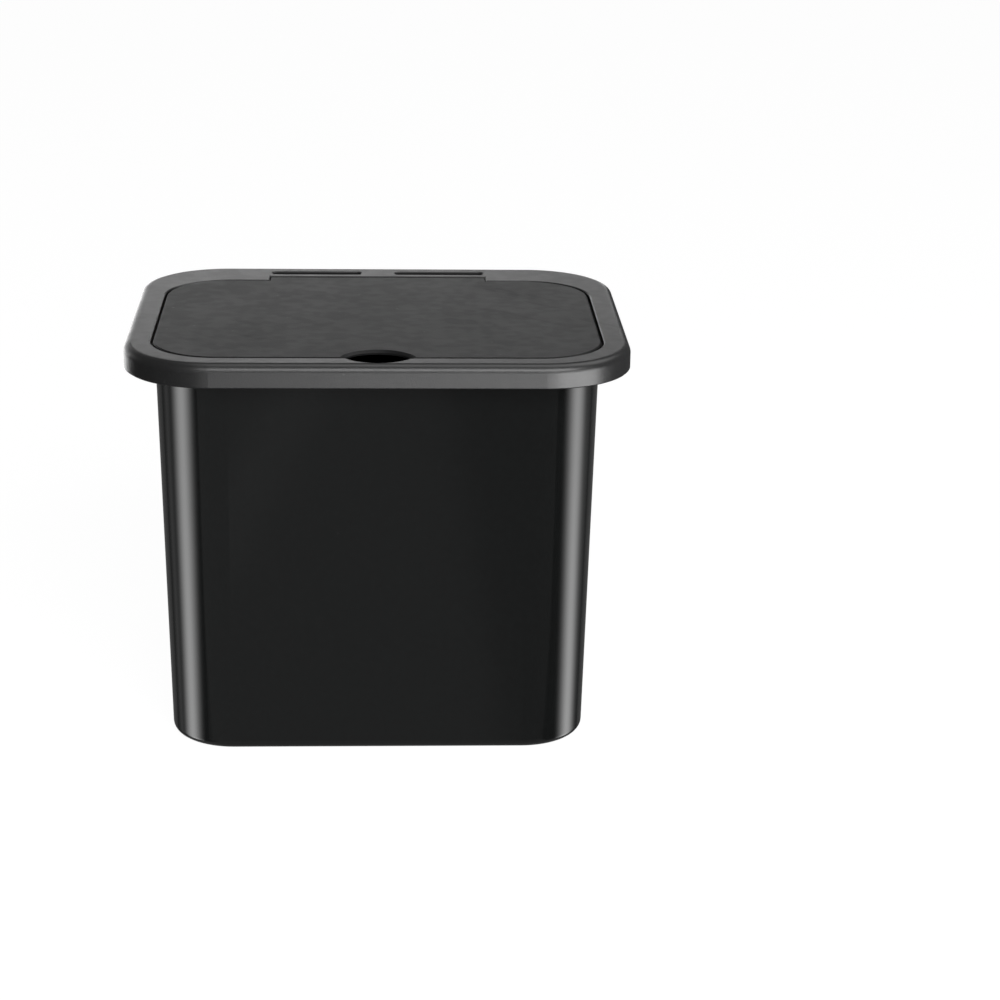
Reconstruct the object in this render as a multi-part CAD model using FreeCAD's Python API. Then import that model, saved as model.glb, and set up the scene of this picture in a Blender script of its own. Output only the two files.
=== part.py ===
import FreeCAD, Part
import os
from math import radians, tan

# Storage box that hangs behind a car seat, in millimetres.
# X runs across the box, Y from its front to its back and Z up, with the origin under the middle of the base.

# Overall
RIM_WIDTH = 230.0
RIM_DEPTH = 183.0
TOTAL_HEIGHT = 191.5
RIM_CORNER_RADIUS = 40.5

# Lid frame
FRAME_SKIRT_HEIGHT = 11.0
FRAME_WALL = 1.8
FRAME_TOP = 2.0
FRAME_EDGE_RADIUS = 3.8
SKIRT_FOOT_BEVEL = 0.5
HOLLOW_BEVEL = 1.2
SIDE_STRIP = 12.1
FRONT_STRIP = 11.5
OPENING_CORNER_RADIUS = 31.0
OPENING_EDGE_BEVEL = 0.5
INNER_WALL = 1.6
LEDGE_THICKNESS = 1.4
PLUG_WALL = 1.4
PLUG_DEPTH = 5.0
BEAD_RADIUS = 0.9
BEAD_LENGTH = 26.0
BEAD_SPACING = 96.0
SKIRT_MARGIN = 0.5

# Hanging slots in the rear strip
HANG_SLOT_LENGTH = 44.0
HANG_SLOT_WIDTH = 5.8
HANG_SLOT_PITCH = 61.0
HANG_SLOT_INSET = 9.0
HANG_SLOT_CORNER = 2.0
HANG_SLOT_MARGIN = 0.6

# Flap and its hinge
LID_THICKNESS = 2.0
LID_EDGE_BEVEL = 0.6
LID_EDGE_WALL = 1.5
LID_EDGE_DEPTH = 4.0
NOTCH_WIDTH = 32.0
NOTCH_DEPTH = 12.0
NOTCH_EDGE_BEVEL = 1.2
SCOOP_WIDTH = 28.5
SCOOP_DEPTH = 7.6
HINGE_BAR = 4.0
HINGE_RADIUS = 2.6
HINGE_TAB_WIDTH = 106.0
HINGE_TAB_REACH = 4.7
PIN_RADIUS = 1.6
PIN_LENGTH = 5.0
SOCKET_WALL = 1.8

# Bin body
BODY_OVERHANG = 13.6
BODY_WALL = 2.0
BODY_DRAFT_DEG = 1.28
BODY_CORNER_RADIUS = 34.0
BODY_FOOT_RADIUS = 4.0
BODY_FLOOR = 2.4
BODY_FLOOR_BEVEL = 3.5
FOOT_RIM_WIDTH = 9.0
FOOT_RIM_HEIGHT = 1.2
FLANGE_THICKNESS = 1.8
FLANGE_LIP_WALL = 1.6

# Clearances
LID_GAP = 1.2
LID_SEAT_GAP = 0.3
FLANGE_CLEARANCE = 0.4
PLUG_CLEARANCE = 0.4
SNAP_CLEARANCE = 0.2
PIN_CLEARANCE = 0.1
PIN_END_CLEARANCE = 0.6
HINGE_GAP = 0.8
TAB_GAP = 0.6
SLOT_WALL_CLEARANCE = 1.2

# Levels, all measured down from the rim
TOP_Z = TOTAL_HEIGHT
PLATE_UNDER_Z = TOP_Z - FRAME_TOP
LID_UNDER_Z = TOP_Z - LID_THICKNESS
LID_REST_Z = TOP_Z - LID_EDGE_DEPTH
LEDGE_TOP_Z = LID_REST_Z - LID_SEAT_GAP
FLANGE_TOP_Z = LEDGE_TOP_Z - LEDGE_THICKNESS
FLANGE_UNDER_Z = FLANGE_TOP_Z - FLANGE_THICKNESS
SKIRT_FOOT_Z = TOP_Z - FRAME_SKIRT_HEIGHT
BEAD_Z = SKIRT_FOOT_Z + SKIRT_MARGIN + BEAD_RADIUS
LIP_FOOT_Z = BEAD_Z + BEAD_RADIUS + SNAP_CLEARANCE
PLUG_FOOT_Z = FLANGE_TOP_Z - PLUG_DEPTH

# Positions along Y, measured in from the rear edge of the rim
SLOT_FRONT_INSET = HANG_SLOT_INSET + HANG_SLOT_WIDTH
BAR_FRONT_INSET = SLOT_FRONT_INSET + HINGE_BAR
HINGE_INSET = BAR_FRONT_INSET + HINGE_GAP + HINGE_RADIUS
REAR_STRIP = HINGE_INSET + HINGE_TAB_REACH
REAR_Y = RIM_DEPTH / 2.0
FRONT_Y = -RIM_DEPTH / 2.0
SLOT_Y = REAR_Y - HANG_SLOT_INSET - HANG_SLOT_WIDTH / 2.0
HINGE_Y = REAR_Y - HINGE_INSET
HINGE_Z = TOP_Z - HINGE_RADIUS

# Body and ledge insets from the outside of the rim
BODY_REAR_OVERHANG = SLOT_FRONT_INSET + SLOT_WALL_CLEARANCE
MOUTH_SIDE = BODY_OVERHANG + BODY_WALL
MOUTH_REAR = BODY_REAR_OVERHANG + BODY_WALL
PLUG_SIDE = MOUTH_SIDE + PLUG_CLEARANCE
PLUG_REAR = MOUTH_REAR + PLUG_CLEARANCE
CAVITY_RADIUS = BODY_CORNER_RADIUS - BODY_WALL
PLUG_RADIUS = CAVITY_RADIUS - PLUG_CLEARANCE
LEDGE_SIDE = PLUG_SIDE + PLUG_WALL
LEDGE_REAR = REAR_STRIP + LEDGE_SIDE - SIDE_STRIP
LEDGE_RADIUS = PLUG_RADIUS - PLUG_WALL
FLANGE_INSET = FRAME_WALL + FLANGE_CLEARANCE
LID_FRONT_Y = FRONT_Y + FRONT_STRIP + LID_GAP
OPENING_FRONT_Y = FRONT_Y + FRONT_STRIP
TAB_NOTCH_WIDTH = HINGE_TAB_WIDTH + 2.0 * TAB_GAP
SOCKET_RADIUS = PIN_RADIUS + PIN_CLEARANCE
SOCKET_LENGTH = PIN_LENGTH - TAB_GAP + PIN_END_CLEARANCE
SOCKET_HALF_DEPTH = SOCKET_RADIUS + SOCKET_WALL
SOCKET_FOOT_Z = HINGE_Z - SOCKET_HALF_DEPTH

X_AXIS = FreeCAD.Vector(1, 0, 0)
UP = FreeCAD.Vector(0, 0, 1)


def outline(side, front, rear, radius, z):
    """Rounded rectangle set in from the outside of the rim, as a closed wire at height z."""
    right = RIM_WIDTH / 2.0 - side
    left = -right
    near = FRONT_Y + front
    far = REAR_Y - rear
    turn = radius * (1.0 - 0.5 ** 0.5)

    def at(x, y):
        return FreeCAD.Vector(x, y, z)

    def arc(start, middle, end):
        return Part.Arc(start, middle, end).toShape()

    edges = [
        Part.makeLine(at(left + radius, near), at(right - radius, near)),
        arc(at(right - radius, near), at(right - turn, near + turn), at(right, near + radius)),
        Part.makeLine(at(right, near + radius), at(right, far - radius)),
        arc(at(right, far - radius), at(right - turn, far - turn), at(right - radius, far)),
        Part.makeLine(at(right - radius, far), at(left + radius, far)),
        arc(at(left + radius, far), at(left + turn, far - turn), at(left, far - radius)),
        Part.makeLine(at(left, far - radius), at(left, near + radius)),
        arc(at(left, near + radius), at(left + turn, near + turn), at(left + radius, near)),
    ]
    return Part.Wire(edges)


def prism(side, front, rear, radius, low, high):
    """Upright block on a rounded rectangle."""
    return Part.Face(outline(side, front, rear, radius, low)).extrude(UP * (high - low))


def block(x_low, x_high, y_low, y_high, z_low, z_high):
    """Plain block between two corners."""
    corner = FreeCAD.Vector(x_low, y_low, z_low)
    return Part.makeBox(x_high - x_low, y_high - y_low, z_high - z_low, corner)


def edges_at(shape, z):
    """Edges that lie wholly at height z."""
    found = []
    for edge in shape.Edges:
        box = edge.BoundBox
        if abs(box.ZMin - z) < 1e-4 and abs(box.ZMax - z) < 1e-4:
            found.append(edge)
    return found


def rounded_at(shape, z, radius):
    """The shape with every edge at height z rounded."""
    return shape.makeFillet(radius, edges_at(shape, z))


def rod(radius, x_low, x_high, y, z):
    """Round rod along X."""
    return Part.makeCylinder(radius, x_high - x_low, FreeCAD.Vector(x_low, y, z), X_AXIS)


def arc_radius(width, depth):
    """Radius of the arc that spans a width with a given depth."""
    return (width * width / 4.0 + depth * depth) / (2.0 * depth)


def disc(radius, y, low, high):
    """Upright round block on the middle plane."""
    return Part.makeCylinder(radius, high - low, FreeCAD.Vector(0, y, low), UP)


def slot_cut(centre_x, margin, low, high):
    """Upright cutter for one hanging slot."""
    half_x = HANG_SLOT_LENGTH / 2.0 + margin
    half_y = HANG_SLOT_WIDTH / 2.0 + margin
    cutter = block(centre_x - half_x, centre_x + half_x, SLOT_Y - half_y, SLOT_Y + half_y, low, high)
    upright = []
    for edge in cutter.Edges:
        if edge.BoundBox.ZLength > 0.5 * (high - low):
            upright.append(edge)
    return cutter.makeFillet(HANG_SLOT_CORNER + margin, upright)


def slot_cuts(margin, low, high):
    """Cutters for both hanging slots."""
    left = slot_cut(-HANG_SLOT_PITCH / 2.0, margin, low, high)
    right = slot_cut(HANG_SLOT_PITCH / 2.0, margin, low, high)
    return left.fuse(right)


def beveled_at(shape, z, size):
    """The shape with every edge at height z beveled."""
    return shape.makeChamfer(size, edges_at(shape, z))


def tapered_slab(corners, run):
    """Slab with a four-sided profile, drawn out along a straight run."""
    points = [FreeCAD.Vector(*corner) for corner in corners]
    return Part.Face(Part.makePolygon(points + points[:1])).extrude(FreeCAD.Vector(*run))


def drafted(side, rear, radius, low, high):
    """Tapered block with flat walls and cone corners; insets and radius are given at the mouth."""
    slope = tan(radians(BODY_DRAFT_DEG))
    reach_low = radius - (FLANGE_TOP_Z - low) * slope
    reach_high = radius - (FLANGE_TOP_Z - high) * slope
    corner_x = RIM_WIDTH / 2.0 - side - radius
    near = FRONT_Y + side + radius
    far = REAR_Y - rear - radius
    low_x = corner_x + reach_low
    high_x = corner_x + reach_high
    across = tapered_slab(
        [(-low_x, near, low), (low_x, near, low), (high_x, near, high), (-high_x, near, high)],
        (0, far - near, 0),
    )
    along = tapered_slab(
        [
            (-corner_x, near - reach_low, low),
            (-corner_x, far + reach_low, low),
            (-corner_x, far + reach_high, high),
            (-corner_x, near - reach_high, high),
        ],
        (2.0 * corner_x, 0, 0),
    )
    pieces = [along]
    for x, y, turn in ((corner_x, far, 0), (-corner_x, far, 90), (-corner_x, near, 180), (corner_x, near, 270)):
        foot = FreeCAD.Vector(x, y, low)
        corner = Part.makeCone(reach_low, reach_high, high - low, foot, UP, 90)
        corner.rotate(foot, UP, turn)
        pieces.append(corner)
    return across.multiFuse(pieces).removeSplitter()


def bin_body():
    """Tapered open bin with a foot rim, a mouth flange and a turned-down lip."""
    shell = drafted(BODY_OVERHANG, BODY_REAR_OVERHANG, BODY_CORNER_RADIUS, 0.0, FLANGE_TOP_Z)
    shell = rounded_at(shell, 0.0, BODY_FOOT_RADIUS)

    # Mouth flange, with the lip that the frame snaps under
    flange_radius = RIM_CORNER_RADIUS - FLANGE_INSET
    flange = prism(FLANGE_INSET, FLANGE_INSET, FLANGE_INSET, flange_radius, LIP_FOOT_Z, FLANGE_TOP_Z)
    lip_inset = FLANGE_INSET + FLANGE_LIP_WALL
    lip_radius = RIM_CORNER_RADIUS - lip_inset
    hollow = prism(lip_inset, lip_inset, lip_inset, lip_radius, LIP_FOOT_Z - 1.0, FLANGE_UNDER_Z)
    flange = flange.cut(hollow)
    flange = flange.cut(slot_cuts(HANG_SLOT_MARGIN, LIP_FOOT_Z - 1.0, FLANGE_TOP_Z + 1.0))
    body = shell.fuse(flange)

    # Inside of the bin
    floor_z = FOOT_RIM_HEIGHT + BODY_FLOOR
    cavity = drafted(MOUTH_SIDE, MOUTH_REAR, CAVITY_RADIUS, floor_z, FLANGE_TOP_Z + 1.0)
    cavity = beveled_at(cavity, floor_z, BODY_FLOOR_BEVEL)
    body = body.cut(cavity)

    # Shallow recess that leaves a foot rim round the base
    run = FLANGE_TOP_Z * tan(radians(BODY_DRAFT_DEG)) + FOOT_RIM_WIDTH
    recess_radius = BODY_CORNER_RADIUS - run
    recess = prism(
        BODY_OVERHANG + run,
        BODY_OVERHANG + run,
        BODY_REAR_OVERHANG + run,
        recess_radius,
        -1.0,
        FOOT_RIM_HEIGHT,
    )
    body = body.cut(recess)
    return body.removeSplitter()


def finger_cut(low, high):
    """Cutter for the finger scoop in the front strip and for the ledge behind it."""
    scoop_radius = arc_radius(SCOOP_WIDTH, SCOOP_DEPTH)
    scoop_y = OPENING_FRONT_Y - SCOOP_DEPTH + scoop_radius
    scoop = disc(scoop_radius, scoop_y, low, high)
    width = RIM_WIDTH / 2.0
    front_half = block(-width, width, FRONT_Y, OPENING_FRONT_Y + LID_GAP, low, high)
    scoop = scoop.common(front_half)
    notch_radius = arc_radius(NOTCH_WIDTH, NOTCH_DEPTH)
    notch_y = LID_FRONT_Y + NOTCH_DEPTH - notch_radius
    notch = disc(notch_radius, notch_y, low, high)
    rear_half = block(-width, width, OPENING_FRONT_Y, REAR_Y, low, high)
    return scoop.fuse(notch.common(rear_half))


def snap_beads():
    """Half-round beads inside the skirt that catch under the lip of the bin."""
    face_y = RIM_DEPTH / 2.0 - FRAME_WALL
    face_x = RIM_WIDTH / 2.0 - FRAME_WALL
    beads = []
    for y in (-face_y, face_y):
        for middle in (-BEAD_SPACING / 2.0, BEAD_SPACING / 2.0):
            low = middle - BEAD_LENGTH / 2.0
            beads.append(rod(BEAD_RADIUS, low, low + BEAD_LENGTH, y, BEAD_Z))
    for x in (-face_x, face_x):
        start = FreeCAD.Vector(x, -BEAD_LENGTH / 2.0, BEAD_Z)
        beads.append(Part.makeCylinder(BEAD_RADIUS, BEAD_LENGTH, start, FreeCAD.Vector(0, 1, 0)))
    return beads


def hinge_socket(side):
    """Block under the rear strip that holds one hinge pin; side is -1 for left and 1 for right."""
    inner = TAB_NOTCH_WIDTH / 2.0
    outer = inner + SOCKET_LENGTH + SOCKET_WALL
    x_low = min(side * inner, side * outer)
    x_high = max(side * inner, side * outer)
    near = HINGE_Y - SOCKET_HALF_DEPTH
    far = HINGE_Y + SOCKET_HALF_DEPTH
    return block(x_low, x_high, near, far, SOCKET_FOOT_Z, PLATE_UNDER_Z + 0.5 * FRAME_TOP)


def socket_bore(side):
    """Blind hole for one hinge pin."""
    inner = TAB_NOTCH_WIDTH / 2.0 - 1.0
    outer = TAB_NOTCH_WIDTH / 2.0 + SOCKET_LENGTH
    x_low = min(side * inner, side * outer)
    x_high = max(side * inner, side * outer)
    return rod(SOCKET_RADIUS, x_low, x_high, HINGE_Y, HINGE_Z)


def lid_frame():
    """One-piece ring with a rolled outer edge, a stepped ledge, a finger scoop and captive hinge sockets."""
    frame = prism(0.0, 0.0, 0.0, RIM_CORNER_RADIUS, SKIRT_FOOT_Z, TOP_Z)
    frame = rounded_at(frame, TOP_Z, FRAME_EDGE_RADIUS)
    frame = beveled_at(frame, SKIRT_FOOT_Z, SKIRT_FOOT_BEVEL)

    # Hollow under the strip, with the wall kept even round the rolled edge
    hollow_radius = RIM_CORNER_RADIUS - FRAME_WALL
    hollow = prism(
        FRAME_WALL, FRAME_WALL, FRAME_WALL, hollow_radius, SKIRT_FOOT_Z - 1.0, PLATE_UNDER_Z
    )
    hollow = beveled_at(hollow, PLATE_UNDER_Z, HOLLOW_BEVEL)
    frame = frame.cut(hollow)

    # Wall and ledge round the opening, and the plug that centres the frame in the bin's mouth
    seat = prism(
        SIDE_STRIP - INNER_WALL,
        FRONT_STRIP - INNER_WALL,
        REAR_STRIP - INNER_WALL,
        OPENING_CORNER_RADIUS + INNER_WALL,
        FLANGE_TOP_Z,
        PLATE_UNDER_Z + 0.5 * FRAME_TOP,
    )
    plug = prism(PLUG_SIDE, PLUG_SIDE, PLUG_REAR, PLUG_RADIUS, PLUG_FOOT_Z, PLATE_UNDER_Z + 0.5 * FRAME_TOP)
    inside = prism(
        PLUG_SIDE + PLUG_WALL,
        PLUG_SIDE + PLUG_WALL,
        PLUG_REAR + PLUG_WALL,
        PLUG_RADIUS - PLUG_WALL,
        PLUG_FOOT_Z - 1.0,
        PLATE_UNDER_Z,
    )
    plug = plug.cut(inside)
    gap_half = TAB_NOTCH_WIDTH / 2.0 + SOCKET_LENGTH
    plug = plug.cut(block(-gap_half, gap_half, HINGE_Y, REAR_Y, PLUG_FOOT_Z - 1.0, TOP_Z))
    frame = frame.multiFuse([seat, plug, hinge_socket(-1), hinge_socket(1)] + snap_beads())

    # Stiffening rib under the bar between the slots and the hinge
    rib_half = TAB_NOTCH_WIDTH / 2.0
    rib_far = REAR_Y - SLOT_FRONT_INSET - SLOT_WALL_CLEARANCE
    rib_near = REAR_Y - BAR_FRONT_INSET
    frame = frame.fuse(block(-rib_half, rib_half, rib_near, rib_far, FLANGE_TOP_Z, PLATE_UNDER_Z + 0.5 * FRAME_TOP))

    # Opening for the flap and the way into the bin
    opening = prism(SIDE_STRIP, FRONT_STRIP, REAR_STRIP, OPENING_CORNER_RADIUS, LEDGE_TOP_Z, TOP_Z + 1.0)
    mouth = prism(LEDGE_SIDE, LEDGE_SIDE, LEDGE_REAR, LEDGE_RADIUS, PLUG_FOOT_Z - 1.0, TOP_Z + 1.0)
    tab_half = TAB_NOTCH_WIDTH / 2.0
    bar_y = REAR_Y - BAR_FRONT_INSET
    barrel_near = HINGE_Y - HINGE_RADIUS - HINGE_GAP
    opening_y = REAR_Y - REAR_STRIP
    tab = block(-tab_half, tab_half, opening_y - 1.0, bar_y, LEDGE_TOP_Z, TOP_Z + 1.0)
    barrel = block(-tab_half, tab_half, barrel_near, bar_y, PLUG_FOOT_Z - 1.0, TOP_Z + 1.0)
    slots = slot_cuts(0.0, PLATE_UNDER_Z - 1.0, TOP_Z + 1.0)
    finger = finger_cut(PLUG_FOOT_Z - 1.0, TOP_Z + 1.0)
    for cutter in (opening, mouth, tab, barrel, slots, finger):
        frame = frame.cut(cutter)
    frame = frame.removeSplitter()

    # Small bevel on every edge of the top that is not the rolled edge itself
    soft = []
    for edge in edges_at(frame, TOP_Z):
        box = edge.BoundBox
        clear_x = max(abs(box.XMin), abs(box.XMax)) < RIM_WIDTH / 2.0 - FRAME_EDGE_RADIUS - 0.5
        clear_y = box.YMin > FRONT_Y + FRAME_EDGE_RADIUS + 0.05 and box.YMax < REAR_Y - FRAME_EDGE_RADIUS - 0.5
        if clear_x and clear_y:
            soft.append(edge)
    frame = frame.makeChamfer(OPENING_EDGE_BEVEL, soft)
    for side in (-1, 1):
        frame = frame.cut(socket_bore(side))
    return frame


def flap_lid():
    """Flat flap with a turned-down edge, a finger notch and a hinge barrel with a pin at each end."""
    lid_side = SIDE_STRIP + LID_GAP
    lid_front = FRONT_STRIP + LID_GAP
    lid_rear = REAR_STRIP + LID_GAP
    lid_radius = OPENING_CORNER_RADIUS - LID_GAP
    tab_half = HINGE_TAB_WIDTH / 2.0
    notch_radius = arc_radius(NOTCH_WIDTH, NOTCH_DEPTH)
    notch_y = LID_FRONT_Y + NOTCH_DEPTH - notch_radius
    flap = prism(lid_side, lid_front, lid_rear, lid_radius, LID_REST_Z, TOP_Z)
    flap = flap.fuse(block(-tab_half, tab_half, REAR_Y - lid_rear - 1.0, HINGE_Y, LID_UNDER_Z, TOP_Z))
    flap = flap.removeSplitter()
    soft = []
    for edge in edges_at(flap, TOP_Z):
        if edge.BoundBox.YMax < HINGE_Y - 0.5:
            soft.append(edge)
    flap = flap.makeChamfer(LID_EDGE_BEVEL, soft)

    # Hollow below the skin, inside the turned-down edge
    hollow = prism(
        lid_side + LID_EDGE_WALL,
        lid_front + LID_EDGE_WALL,
        lid_rear + LID_EDGE_WALL,
        lid_radius - LID_EDGE_WALL,
        LID_REST_Z - 1.0,
        LID_UNDER_Z,
    )
    flap = flap.cut(hollow)

    # Finger notch through the skin and the edge, with an eased lip
    flap = flap.cut(disc(notch_radius, notch_y, LID_REST_Z - 1.0, TOP_Z + 1.0))
    lip = []
    for edge in edges_at(flap, TOP_Z):
        if isinstance(edge.Curve, Part.Circle) and abs(edge.Curve.Radius - notch_radius) < 0.01:
            lip.append(edge)
    flap = flap.makeChamfer(NOTCH_EDGE_BEVEL, lip)

    # Hinge barrel and pins in one turned profile
    barrel = rod(HINGE_RADIUS, -tab_half, tab_half, HINGE_Y, HINGE_Z)
    pins = rod(PIN_RADIUS, -tab_half - PIN_LENGTH, tab_half + PIN_LENGTH, HINGE_Y, HINGE_Z)
    flap = flap.multiFuse([barrel, pins])
    return flap.removeSplitter()


os.makedirs("parts", exist_ok=True)
bin_body().exportStep("parts/bin_body.step")
lid_frame().exportStep("parts/lid_frame.step")
flap_lid().exportStep("parts/flap_lid.step")
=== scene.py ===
"""Looks of the storage box: finishes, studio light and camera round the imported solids."""

import logging
import math
from dataclasses import dataclass, field
from enum import Enum
from typing import Any

import bpy
from mathutils import Matrix, Quaternion, Vector

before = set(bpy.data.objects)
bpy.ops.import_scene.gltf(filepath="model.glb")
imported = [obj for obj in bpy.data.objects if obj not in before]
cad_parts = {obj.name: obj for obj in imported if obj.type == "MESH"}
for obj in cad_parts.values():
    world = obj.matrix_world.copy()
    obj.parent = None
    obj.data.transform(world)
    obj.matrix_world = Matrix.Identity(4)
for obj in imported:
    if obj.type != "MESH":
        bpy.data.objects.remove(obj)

LOG = logging.getLogger("storage_box")
Colour = tuple[float, float, float]
Point = tuple[float, float, float]

# Effects that every finish shares: a scale counts waves, cells or strokes in a metre,
# a size is a share of a cell, and a turn is in radians
FLOW_SCALE = 30.0
SPECK_SCALE = 330.0
SPECK_SIZE = 0.2
RUB_SCALE = 70.0
RUB_TURN = 0.7
# How far the grain lightens and darkens the plastic, and how far the waves change its roughness
SHADE_SPREAD = 0.1
CLOUD_SHARE = 0.05


class Slot(Enum):
    """Material slots of the record that the finishes stand for."""

    BIN = "bin_gloss"
    RIM = "rim_satin"
    FLAP = "flap_matte"


class Effect(Enum):
    """Shader groups that the finishes share."""

    GRAIN = "spark grain"
    FLOW = "moulding flow"
    SPECKS = "dust specks"
    RUBS = "handling rubs"


def grey(value: float) -> tuple[float, float, float, float]:
    """Returns a neutral colour with full alpha."""
    return (value, value, value, 1.0)


def feed(tree: bpy.types.NodeTree, socket: bpy.types.NodeSocket, value: Any) -> None:
    """Links a socket to an input, or sets the input to a plain value.

    Args:
        tree: Node tree that holds the input.
        socket: Input to feed.
        value: Socket or plain value.
    """
    if isinstance(value, bpy.types.NodeSocket):
        tree.links.new(value, socket)
    else:
        socket.default_value = value


def add_node(
    tree: bpy.types.NodeTree, kind: str, settings: dict[str, Any] | None = None, **inputs: Any
) -> bpy.types.Node:
    """Adds a shader node, sets it up and connects it.

    Args:
        tree: Node tree that gets the node.
        kind: Node type, such as "ShaderNodeMath".
        settings: Properties of the node itself.
        inputs: Input name, with underscores for spaces, or in0, in1 for a place, to a value or a socket.

    Returns:
        The new node.
    """
    node = tree.nodes.new(kind)
    for name, value in (settings or {}).items():
        setattr(node, name, value)
    for name, value in inputs.items():
        by_place = name.startswith("in") and name[2:].isdigit()
        key = int(name[2:]) if by_place else name.replace("_", " ")
        feed(tree, node.inputs[key], value)
    return node


def ramp(
    tree: bpy.types.NodeTree,
    value: bpy.types.NodeSocket,
    low: float,
    high: float,
    bottom: float = 0.0,
    top: float = 1.0,
) -> bpy.types.NodeSocket:
    """Turns a value into a soft step.

    Args:
        tree: Node tree that gets the node.
        value: Socket to read.
        low: Value that gives the bottom.
        high: Value that gives the top.
        bottom: Lowest result.
        top: Highest result.

    Returns:
        Socket with the result.
    """
    node = add_node(
        tree,
        "ShaderNodeMapRange",
        {"interpolation_type": "SMOOTHSTEP"},
        Value=value,
        From_Min=low,
        From_Max=high,
        To_Min=bottom,
        To_Max=top,
    )
    return node.outputs["Result"]


def math_node(tree: bpy.types.NodeTree, operation: str, first: Any, second: Any) -> bpy.types.NodeSocket:
    """Joins two values by arithmetic.

    Args:
        tree: Node tree that gets the node.
        operation: Name of the operation, such as "MULTIPLY".
        first: First value or socket.
        second: Second value or socket.

    Returns:
        Socket with the result.
    """
    return add_node(tree, "ShaderNodeMath", {"operation": operation}, in0=first, in1=second).outputs[0]


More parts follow.
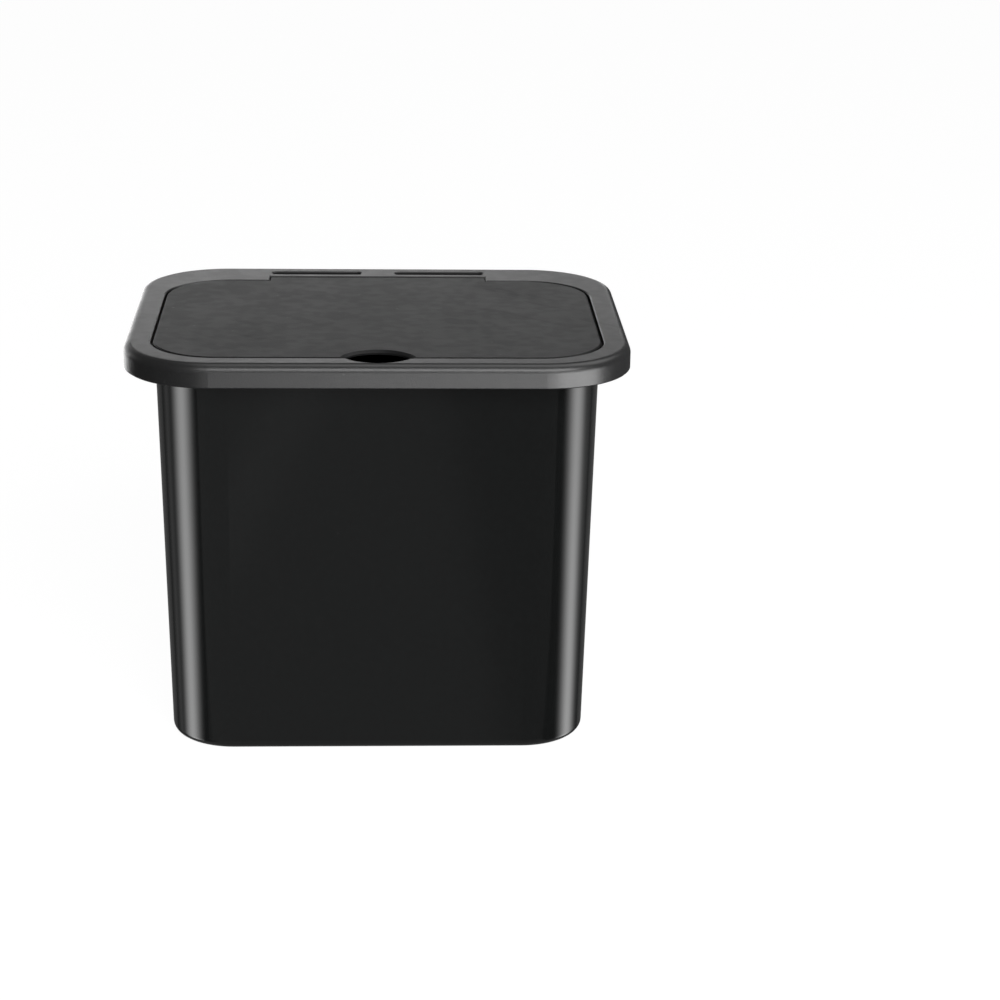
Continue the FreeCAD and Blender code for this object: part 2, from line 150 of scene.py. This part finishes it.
class EffectLibrary:
    """Builds each shared shader group once and hands it out."""

    def __init__(self) -> None:
        """Starts with no group built."""
        self._made: dict[Effect, bpy.types.NodeTree] = {}

    def get(self, effect: Effect) -> bpy.types.NodeTree:
        """Returns the group of an effect.

        Args:
            effect: Which group.

        Returns:
            Its node tree.
        """
        if effect not in self._made:
            makers = {
                Effect.GRAIN: self._grain,
                Effect.FLOW: self._flow,
                Effect.SPECKS: self._specks,
                Effect.RUBS: self._rubs,
            }
            self._made[effect] = makers[effect]()
        return self._made[effect]

    def place(self, tree: bpy.types.NodeTree, effect: Effect, **inputs: Any) -> bpy.types.Node:
        """Places a shared group in a material.

        Args:
            tree: The material's node tree.
            effect: Which group.
            inputs: Values or sockets for its inputs.

        Returns:
            The group node.
        """
        node = tree.nodes.new("ShaderNodeGroup")
        node.node_tree = self.get(effect)
        for name, value in inputs.items():
            feed(tree, node.inputs[name], value)
        return node

    @staticmethod
    def _start(
        name: str, values: dict[str, float], outputs: list[str]
    ) -> tuple[bpy.types.NodeTree, bpy.types.Node, bpy.types.Node]:
        """Starts a group with a place input, number inputs and number outputs.

        Args:
            name: Name of the group.
            values: Input name to its usual value.
            outputs: Output names.

        Returns:
            The tree, its input node and its output node.
        """
        tree = bpy.data.node_groups.new(name, "ShaderNodeTree")
        tree.interface.new_socket("Place", in_out="INPUT", socket_type="NodeSocketVector")
        for label, value in values.items():
            socket = tree.interface.new_socket(label, in_out="INPUT", socket_type="NodeSocketFloat")
            socket.default_value = value
        for label in outputs:
            tree.interface.new_socket(label, in_out="OUTPUT", socket_type="NodeSocketFloat")
        return tree, tree.nodes.new("NodeGroupInput"), tree.nodes.new("NodeGroupOutput")

    def _grain(self) -> bpy.types.NodeTree:
        """Returns the group for the pitted grain that a spark-eroded mould leaves."""
        noise_share = 0.45
        height_share = 0.5
        tree, given, result = self._start(Effect.GRAIN.value, {"Scale": 1800.0}, ["Height", "Shade"])
        place = given.outputs["Place"]
        scale = given.outputs["Scale"]
        cells = add_node(
            tree, "ShaderNodeTexVoronoi", {"feature": "SMOOTH_F1"}, Vector=place, Scale=scale, Smoothness=0.6
        )
        coarse = math_node(tree, "MULTIPLY", scale, noise_share)
        noise = add_node(
            tree, "ShaderNodeTexNoise", None, Vector=place, Scale=coarse, Detail=3.0, Roughness=0.6
        )
        height = math_node(tree, "ADD", cells.outputs["Distance"], noise.outputs["Fac"])
        tree.links.new(math_node(tree, "MULTIPLY", height, height_share), result.inputs["Height"])
        tree.links.new(ramp(tree, noise.outputs["Fac"], low=0.3, high=0.7), result.inputs["Shade"])
        return tree

    def _flow(self) -> bpy.types.NodeTree:
        """Returns the group for the slow waves that a cooling wall keeps, with a finer ripple on them."""
        ripple_ratio = 6.0
        tree, given, result = self._start(
            Effect.FLOW.value, {"Scale": FLOW_SCALE, "Peel": 0.06}, ["Height", "Cloud", "Mottle"]
        )
        place = given.outputs["Place"]
        scale = given.outputs["Scale"]
        wave = add_node(
            tree,
            "ShaderNodeTexNoise",
            None,
            Vector=place,
            Scale=scale,
            Detail=1.0,
            Roughness=0.4,
            Distortion=0.3,
        )
        fine = math_node(tree, "MULTIPLY", scale, ripple_ratio)
        peel = add_node(tree, "ShaderNodeTexNoise", None, Vector=place, Scale=fine, Detail=0.0)
        faint = math_node(tree, "MULTIPLY", peel.outputs["Fac"], given.outputs["Peel"])
        tree.links.new(math_node(tree, "ADD", wave.outputs["Fac"], faint), result.inputs["Height"])
        tree.links.new(ramp(tree, wave.outputs["Fac"], low=0.35, high=0.65), result.inputs["Cloud"])
        tree.links.new(ramp(tree, peel.outputs["Fac"], low=0.3, high=0.7), result.inputs["Mottle"])
        return tree

    def _specks(self) -> bpy.types.NodeTree:
        """Returns the group for sparse pale specks of dust."""
        tree, given, result = self._start(
            Effect.SPECKS.value, {"Scale": SPECK_SCALE, "Share": 0.05, "Size": SPECK_SIZE}, ["Mask"]
        )
        cells = add_node(
            tree,
            "ShaderNodeTexVoronoi",
            {"feature": "F1"},
            Vector=given.outputs["Place"],
            Scale=given.outputs["Scale"],
            Randomness=1.0,
        )
        pick = add_node(tree, "ShaderNodeSeparateColor", None, Color=cells.outputs["Color"])
        chosen = math_node(tree, "LESS_THAN", pick.outputs["Red"], given.outputs["Share"])
        reach = math_node(tree, "MULTIPLY", given.outputs["Size"], pick.outputs["Green"])
        near = math_node(tree, "LESS_THAN", cells.outputs["Distance"], reach)
        tree.links.new(math_node(tree, "MULTIPLY", chosen, near), result.inputs["Mask"])
        return tree

    def _rubs(self) -> bpy.types.NodeTree:
        """Returns the group for faint strokes where hands and sleeves pass."""
        stroke_stretch = (0.12, 1.0, 1.0)
        patch_scale = 14.0
        tree, given, result = self._start(Effect.RUBS.value, {"Scale": RUB_SCALE, "Turn": RUB_TURN}, ["Mask"])
        place = given.outputs["Place"]
        turned = add_node(
            tree,
            "ShaderNodeVectorRotate",
            {"rotation_type": "Z_AXIS"},
            Vector=place,
            Angle=given.outputs["Turn"],
        )
        stretched = add_node(
            tree, "ShaderNodeMapping", None, Vector=turned.outputs["Vector"], Scale=stroke_stretch
        )
        strokes = add_node(
            tree,
            "ShaderNodeTexNoise",
            None,
            Vector=stretched.outputs["Vector"],
            Scale=given.outputs["Scale"],
            Detail=4.0,
            Roughness=0.65,
        )
        patch = add_node(tree, "ShaderNodeTexNoise", None, Vector=place, Scale=patch_scale, Detail=1.0)
        line = ramp(tree, strokes.outputs["Fac"], low=0.56, high=0.72)
        where = ramp(tree, patch.outputs["Fac"], low=0.45, high=0.62)
        tree.links.new(math_node(tree, "MULTIPLY", line, where), result.inputs["Mask"])
        return tree


@dataclass(frozen=True)
class MouldedFinish:
    """A black moulded surface, from polished to matte.

    Attributes:
        slot: The record's slot that it stands for.
        base: Colour of the plastic.
        dust: Colour of a speck of dust on it.
        roughness: Roughness of a clean place.
        specular: Specular level.
        grain_scale: Grain cells in a metre.
        grain_depth: Depth of the grain in metres.
        flow_depth: Height of the slow waves in metres.
        peel: Height of the fine ripple on the waves, as a share of theirs.
        mottle: How much the ripple changes the roughness.
        speck_share: Share of the speck cells that hold one.
        rub_gain: How much a rub changes the roughness.
    """

    slot: Slot
    base: Colour
    dust: Colour
    roughness: float
    specular: float
    grain_scale: float
    grain_depth: float
    flow_depth: float
    peel: float
    mottle: float
    speck_share: float
    rub_gain: float

    def shade(self, share: float) -> tuple[float, ...]:
        """Returns the plastic's colour times a share, with full alpha."""
        return (*(channel * share for channel in self.base), 1.0)

    def material(self, effects: EffectLibrary) -> bpy.types.Material:
        """Builds the finish.

        Args:
            effects: Shared shader groups.

        Returns:
            The material.
        """
        made = bpy.data.materials.new(self.slot.value)
        made.use_nodes = True
        tree = made.node_tree
        tree.nodes.clear()
        place = add_node(tree, "ShaderNodeTexCoord").outputs["Object"]
        grain = effects.place(tree, Effect.GRAIN, Place=place, Scale=self.grain_scale)
        flow = effects.place(tree, Effect.FLOW, Place=place, Scale=FLOW_SCALE, Peel=self.peel)
        specks = effects.place(
            tree, Effect.SPECKS, Place=place, Scale=SPECK_SCALE, Share=self.speck_share, Size=SPECK_SIZE
        )
        rubs = effects.place(tree, Effect.RUBS, Place=place, Scale=RUB_SCALE, Turn=RUB_TURN)

        shade = add_node(tree, "ShaderNodeMix", {"data_type": "RGBA"}, Factor=grain.outputs["Shade"])
        shade.inputs["A"].default_value = self.shade(1.0 - SHADE_SPREAD)
        shade.inputs["B"].default_value = self.shade(1.0 + SHADE_SPREAD)
        dusty = add_node(tree, "ShaderNodeMix", {"data_type": "RGBA"}, Factor=specks.outputs["Mask"])
        tree.links.new(shade.outputs["Result"], dusty.inputs["A"])
        dusty.inputs["B"].default_value = (*self.dust, 1.0)

        cloud = math_node(tree, "MULTIPLY", flow.outputs["Cloud"], self.roughness * CLOUD_SHARE)
        rubbed = math_node(tree, "MULTIPLY", rubs.outputs["Mask"], self.rub_gain)
        mottled = math_node(tree, "MULTIPLY", flow.outputs["Mottle"], self.mottle)
        uneven = math_node(tree, "ADD", math_node(tree, "ADD", cloud, rubbed), mottled)
        rough = math_node(tree, "ADD", uneven, self.roughness)

        slow = add_node(
            tree,
            "ShaderNodeBump",
            None,
            Height=flow.outputs["Height"],
            Strength=1.0,
            Distance=self.flow_depth,
        )
        fine = add_node(
            tree,
            "ShaderNodeBump",
            None,
            Height=grain.outputs["Height"],
            Strength=1.0,
            Distance=self.grain_depth,
            Normal=slow.outputs["Normal"],
        )

        plastic = add_node(
            tree,
            "ShaderNodeBsdfPrincipled",
            None,
            Base_Color=dusty.outputs["Result"],
            Roughness=rough,
            Specular_IOR_Level=self.specular,
            Normal=fine.outputs["Normal"],
        )
        add_node(tree, "ShaderNodeOutputMaterial", None, Surface=plastic.outputs["BSDF"])
        return made


BIN_GLOSS = MouldedFinish(
    slot=Slot.BIN,
    base=(0.004, 0.0044, 0.0044),
    dust=(0.012, 0.012, 0.012),
    roughness=0.08,
    specular=0.5,
    grain_scale=900.0,
    grain_depth=0.0,
    flow_depth=0.00004,
    peel=0.06,
    mottle=0.01,
    speck_share=0.02,
    rub_gain=0.02,
)
RIM_SATIN = MouldedFinish(
    slot=Slot.RIM,
    base=(0.010, 0.010, 0.0102),
    dust=(0.03, 0.03, 0.03),
    roughness=0.32,
    specular=0.5,
    grain_scale=1700.0,
    grain_depth=0.00006,
    flow_depth=0.00003,
    peel=0.5,
    mottle=0.03,
    speck_share=0.02,
    rub_gain=0.04,
)
FLAP_MATTE = MouldedFinish(
    slot=Slot.FLAP,
    base=(0.009, 0.009, 0.0092),
    dust=(0.06, 0.06, 0.06),
    roughness=0.39,
    specular=0.175,
    grain_scale=1500.0,
    grain_depth=0.00005,
    flow_depth=0.00004,
    peel=0.9,
    mottle=0.035,
    speck_share=0.04,
    rub_gain=0.05,
)


def paint(node: bpy.types.Object, material: bpy.types.Material) -> None:
    """Gives a whole object one material.

    Args:
        node: Object to paint.
        material: Its material.
    """
    node.data.materials.clear()
    node.data.materials.append(material)


@dataclass
class MouldedPiece:
    """One moulding, which keeps the shape of its solid and gets a finish.

    Attributes:
        node: Name of its solid.
        finish: Finish that covers it.
    """

    node: str
    finish: MouldedFinish

    def dress(self, effects: EffectLibrary) -> None:
        """Gives the moulding its finish.

        Args:
            effects: Shared shader groups.
        """
        paint(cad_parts[self.node], self.finish.material(effects))
        LOG.info("%s dressed in %s", self.node, self.finish.slot.value)


@dataclass
class BinBody(MouldedPiece):
    """The polished bin."""

    node: str = "bin_body"
    finish: MouldedFinish = BIN_GLOSS


@dataclass
class LidFrame(MouldedPiece):
    """The satin rim that snaps over the bin's mouth."""

    node: str = "lid_frame"
    finish: MouldedFinish = RIM_SATIN


@dataclass
class FlapLid(MouldedPiece):
    """The matte flap that closes the opening."""

    node: str = "flap_lid"
    finish: MouldedFinish = FLAP_MATTE


BIN_ONLY = (BinBody.node,)
RIM_ONLY = (LidFrame.node,)
RIM_AND_FLAP = (LidFrame.node, FlapLid.node)
BOX_MIDDLE: Point = (0.0, 0.0, 0.15)


def flag_to(light: bpy.types.Object, nodes: tuple[str, ...]) -> None:
    """Lets a light fall on certain nodes alone.

    Args:
        light: Lamp or glowing card.
        nodes: Names of the nodes that it lights.
    """
    flagged = bpy.data.collections.new(light.name + "_lit")
    for node in nodes:
        flagged.objects.link(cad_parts[node])
    light.light_linking.receiver_collection = flagged


def turned_to(place: Point, aim: Point, face: str) -> Quaternion:
    """Works out how to turn a thing towards a point.

    Args:
        place: Where the thing hangs.
        aim: Point that it faces.
        face: Its own axis that points there, such as "-Z".

    Returns:
        The rotation.
    """
    return (Vector(aim) - Vector(place)).to_track_quat(face, "Y")


@dataclass(frozen=True)
class Softbox:
    """One soft studio light.

    Attributes:
        name: Name of the light.
        place: Where it hangs, in metres.
        width: Width in metres.
        height: Height in metres.
        glow: Brightness of its face, where 1 is white.
        aim: Point that it faces, in metres.
        lit: Nodes that it is flagged to, or none where it lights everything.
    """

    name: str
    place: Point
    width: float
    height: float
    glow: float
    aim: Point = BOX_MIDDLE
    lit: tuple[str, ...] = ()

    def hang(self) -> None:
        """Adds the light to the scene."""
        bpy.ops.object.light_add(type="AREA", location=self.place)
        lamp = bpy.context.object
        lamp.name = self.name
        lamp.data.shape = "RECTANGLE"
        lamp.data.size = self.width
        lamp.data.size_y = self.height
        lamp.data.energy = self.glow * math.pi * self.width * self.height
        lamp.visible_camera = False
        lamp.rotation_mode = "QUATERNION"
        lamp.rotation_quaternion = turned_to(self.place, self.aim, "-Z")
        if self.lit:
            flag_to(lamp, self.lit)


@dataclass(frozen=True)
class GlowCard:
    """A bright card whose long edges fade, for what a polished wall mirrors.

    Attributes:
        name: Name of the card.
        place: Where it hangs, in metres.
        aim: Point that it faces, in metres.
        width: Width in metres.
        height: Height in metres.
        glow: Brightness along its middle, where 1 is white.
        fade: Share of its half width that fades, from 0 to 1.
        turn_deg: How far it leans in its own plane.
        lit: Nodes that it is flagged to.
    """

    name: str
    place: Point
    aim: Point
    width: float
    height: float
    glow: float
    fade: float
    turn_deg: float = 0.0
    lit: tuple[str, ...] = BIN_ONLY

    def hang(self) -> None:
        """Adds the card to the scene."""
        bpy.ops.mesh.primitive_plane_add(size=1.0, location=self.place)
        card = bpy.context.object
        card.name = self.name
        card.scale = (self.width, self.height, 1.0)
        lean = Matrix.Rotation(math.radians(self.turn_deg), 4, "Z")
        card.rotation_mode = "QUATERNION"
        card.rotation_quaternion = turned_to(self.place, self.aim, "Z") @ lean.to_quaternion()
        paint(card, self.material())
        card.visible_camera = False
        card.visible_shadow = False
        flag_to(card, self.lit)

    def material(self) -> bpy.types.Material:
        """Returns the card's glow, brightest along its middle and clear to what is behind it."""
        half_width = 0.5
        made = bpy.data.materials.new(self.name)
        made.use_nodes = True
        tree = made.node_tree
        tree.nodes.clear()
        place = add_node(tree, "ShaderNodeTexCoord").outputs["Object"]
        across = add_node(tree, "ShaderNodeSeparateXYZ", None, Vector=place).outputs["X"]
        side = add_node(tree, "ShaderNodeMath", {"operation": "ABSOLUTE"}, in0=across).outputs[0]
        mask = ramp(tree, side, low=half_width, high=half_width * (1.0 - self.fade))
        soft = math_node(tree, "MULTIPLY", mask, mask)
        shine = add_node(tree, "ShaderNodeEmission", None, Color=soft, Strength=self.glow)
        clear = add_node(tree, "ShaderNodeBsdfTransparent")
        both = add_node(tree, "ShaderNodeAddShader", None, in0=shine.outputs[0], in1=clear.outputs[0])
        add_node(tree, "ShaderNodeOutputMaterial", None, Surface=both.outputs[0])
        return made


def soft_lights() -> list[Softbox]:
    """Returns the lamps: one for everything, the others for the satin and matte pieces."""
    return [
        Softbox("front_high", place=(0.50, -1.60, 1.15), width=1.8, height=1.0, glow=6.6),
        Softbox(
            "overhead",
            place=(0.55, 0.25, 1.70),
            width=1.2,
            height=1.9,
            glow=2.1,
            aim=(0.0, 0.05, 0.19),
            lit=RIM_AND_FLAP,
        ),
        Softbox("back_low", place=(-0.60, 1.65, 0.30), width=2.4, height=0.6, glow=1.6, lit=RIM_AND_FLAP),
        Softbox("rim_back", place=(-0.09, 1.65, 0.88), width=0.34, height=0.36, glow=0.75, lit=RIM_ONLY),
        Softbox("right_key", place=(0.92, -0.86, -0.24), width=1.3, height=0.8, glow=8.0, lit=RIM_AND_FLAP),
        Softbox("front_low", place=(0.22, -1.32, -0.28), width=0.7, height=0.8, glow=3.6, lit=RIM_AND_FLAP),
        Softbox("back_fill", place=(-0.40, 1.50, -0.30), width=1.6, height=0.8, glow=3.6, lit=RIM_AND_FLAP),
    ]


def mirrored_cards() -> list[GlowCard]:
    """Returns the cards that the polished bin mirrors: strips at its corners, dim panels on its walls."""
    return [
        GlowCard(
            "left_strip",
            place=(-1.06, -0.205, -0.30),
            aim=(-0.10, -0.055, -0.30),
            width=1.22,
            height=1.5,
            glow=4.9,
            fade=1.0,
            turn_deg=14.0,
        ),
        GlowCard(
            "right_strip",
            place=(1.06, -0.03, -0.30),
            aim=(0.10, -0.055, -0.30),
            width=1.22,
            height=1.5,
            glow=4.4,
            fade=1.0,
            turn_deg=-20.0,
        ),
        GlowCard(
            "front_panel",
            place=(0.0, -2.02, -0.70),
            aim=(0.0, 0.0, -0.70),
            width=5.2,
            height=1.2,
            glow=0.095,
            fade=0.04,
        ),
        GlowCard(
            "left_panel",
            place=(-1.153, -2.01, -0.916),
            aim=(-1.153, 0.0, -0.916),
            width=2.6,
            height=1.7,
            glow=0.09,
            fade=0.01,
            turn_deg=-9.75,
        ),
        GlowCard(
            "back_panel",
            place=(0.0, 2.02, -0.70),
            aim=(0.0, 0.0, -0.70),
            width=5.2,
            height=1.2,
            glow=0.07,
            fade=0.2,
        ),
        GlowCard(
            "left_wing",
            place=(-2.0, 0.9, -0.70),
            aim=(0.0, 0.9, -0.70),
            width=1.7,
            height=1.2,
            glow=0.22,
            fade=1.0,
        ),
        GlowCard(
            "right_wing",
            place=(2.0, 1.0, -0.70),
            aim=(0.0, 1.0, -0.70),
            width=1.7,
            height=1.2,
            glow=0.19,
            fade=1.0,
        ),
        GlowCard(
            "under_card",
            place=(0.0, -0.15, -0.60),
            aim=(0.0, -0.15, 0.0),
            width=1.4,
            height=1.9,
            glow=0.20,
            fade=0.3,
        ),
        GlowCard(
            "lean_streak",
            place=(-0.138, -2.00, -0.559),
            aim=(-0.138, 0.0, -0.559),
            width=0.075,
            height=0.8,
            glow=0.09,
            fade=0.3,
            turn_deg=26.8,
        ),
    ]


@dataclass
class Studio:
    """Floor, light and camera.

    Attributes:
        floor_size: Side of the floor in metres.
        floor_drop: How far it lies below the box's foot, in metres.
        floor_grey: Its own colour.
        floor_white: Brightness that makes it white to the camera.
        floor_white_share: Share of that white; the rest of the floor shows the shadow.
        room_low: Brightness of the room below the horizon.
        room_high: Brightness of the room above it.
        room_blend: Height of a ray's direction at which the change ends, either side of the horizon.
        camera_place: Where the camera stands, in metres.
        pitch_deg: How far it looks down.
        swing_deg: How far it turns to the right about its own upright.
        focal_px: Focal length in pixels.
        picture_px: Width of the picture in pixels.
        sensor_mm: Width of the camera's sensor in millimetres.
        clip: Nearest and farthest distance that the camera sees, in metres.
        lights: The lamps.
        cards: The glowing cards.
    """

    floor_size: float = 16.0
    floor_drop: float = 0.0003
    floor_grey: float = 0.8
    floor_white: float = 1.13
    floor_white_share: float = 0.85
    room_low: float = 0.07
    room_high: float = 0.12
    room_blend: float = 0.15
    camera_place: Point = (0.0, -1.1935, 0.4997)
    pitch_deg: float = 18.59
    swing_deg: float = 2.686
    focal_px: float = 2600.0
    picture_px: float = 1000.0
    sensor_mm: float = 36.0
    clip: tuple[float, float] = (0.05, 60.0)
    lights: list[Softbox] = field(default_factory=soft_lights)
    cards: list[GlowCard] = field(default_factory=mirrored_cards)

    def lay_floor(self) -> None:
        """Lays the pale floor, which shows as white to the camera and keeps a soft shadow."""
        bpy.ops.mesh.primitive_plane_add(size=self.floor_size, location=(0.0, 0.0, -self.floor_drop))
        floor = bpy.context.object
        floor.name = "studio_floor"
        made = bpy.data.materials.new("studio_floor")
        made.use_nodes = True
        tree = made.node_tree
        tree.nodes.clear()
        path = add_node(tree, "ShaderNodeLightPath")
        matte = add_node(tree, "ShaderNodeBsdfDiffuse", None, Color=grey(self.floor_grey))
        white = add_node(tree, "ShaderNodeEmission", None, Color=grey(1.0), Strength=self.floor_white)
        share = math_node(tree, "MULTIPLY", path.outputs["Is Camera Ray"], self.floor_white_share)
        both = add_node(
            tree, "ShaderNodeMixShader", None, in0=share, in1=matte.outputs[0], in2=white.outputs[0]
        )
        add_node(tree, "ShaderNodeOutputMaterial", None, Surface=both.outputs[0])
        floor.visible_glossy = False
        floor.visible_shadow = False
        paint(floor, made)

    def light_world(self) -> None:
        """Fills the room with dim light, less from below, and shows it as white to the camera."""
        world = bpy.data.worlds.new("studio_room")
        bpy.context.scene.world = world
        world.use_nodes = True
        tree = world.node_tree
        tree.nodes.clear()
        path = add_node(tree, "ShaderNodeLightPath")
        toward = add_node(tree, "ShaderNodeTexCoord").outputs["Generated"]
        height = add_node(tree, "ShaderNodeSeparateXYZ", None, Vector=toward).outputs["Z"]
        dim = ramp(tree, height, -self.room_blend, self.room_blend, self.room_low, self.room_high)
        strength = math_node(tree, "MAXIMUM", path.outputs["Is Camera Ray"], dim)
        room = add_node(tree, "ShaderNodeBackground", None, Color=grey(1.0), Strength=strength)
        add_node(tree, "ShaderNodeOutputWorld", None, Surface=room.outputs[0])

    def stand_camera(self) -> None:
        """Stands the camera at the photo's viewing angle."""
        data = bpy.data.cameras.new("photo_camera")
        data.sensor_fit = "HORIZONTAL"
        data.sensor_width = self.sensor_mm
        data.lens = self.focal_px / self.picture_px * self.sensor_mm
        data.clip_start, data.clip_end = self.clip
        camera = bpy.data.objects.new("photo_camera", data)
        bpy.context.scene.collection.objects.link(camera)
        tilt = Matrix.Rotation(math.radians(90.0 - self.pitch_deg), 4, "X")
        swing = Matrix.Rotation(math.radians(-self.swing_deg), 4, "Y")
        camera.matrix_world = Matrix.Translation(self.camera_place) @ tilt @ swing
        bpy.context.scene.camera = camera

    def build(self) -> None:
        """Sets up the whole studio."""
        bpy.context.scene.view_settings.view_transform = "Standard"
        self.lay_floor()
        self.light_world()
        for light in (*self.lights, *self.cards):
            light.hang()
        self.stand_camera()
        LOG.info("studio ready with %d lamps and %d cards", len(self.lights), len(self.cards))


def main() -> None:
    """Builds the looks in order."""
    logging.basicConfig(level=logging.INFO, format="%(name)s: %(message)s")
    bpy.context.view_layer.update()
    bpy.ops.object.select_all(action="DESELECT")
    effects = EffectLibrary()
    for piece in (BinBody(), LidFrame(), FlapLid()):
        piece.dress(effects)
    Studio().build()


if __name__ == "__main__":
    main()
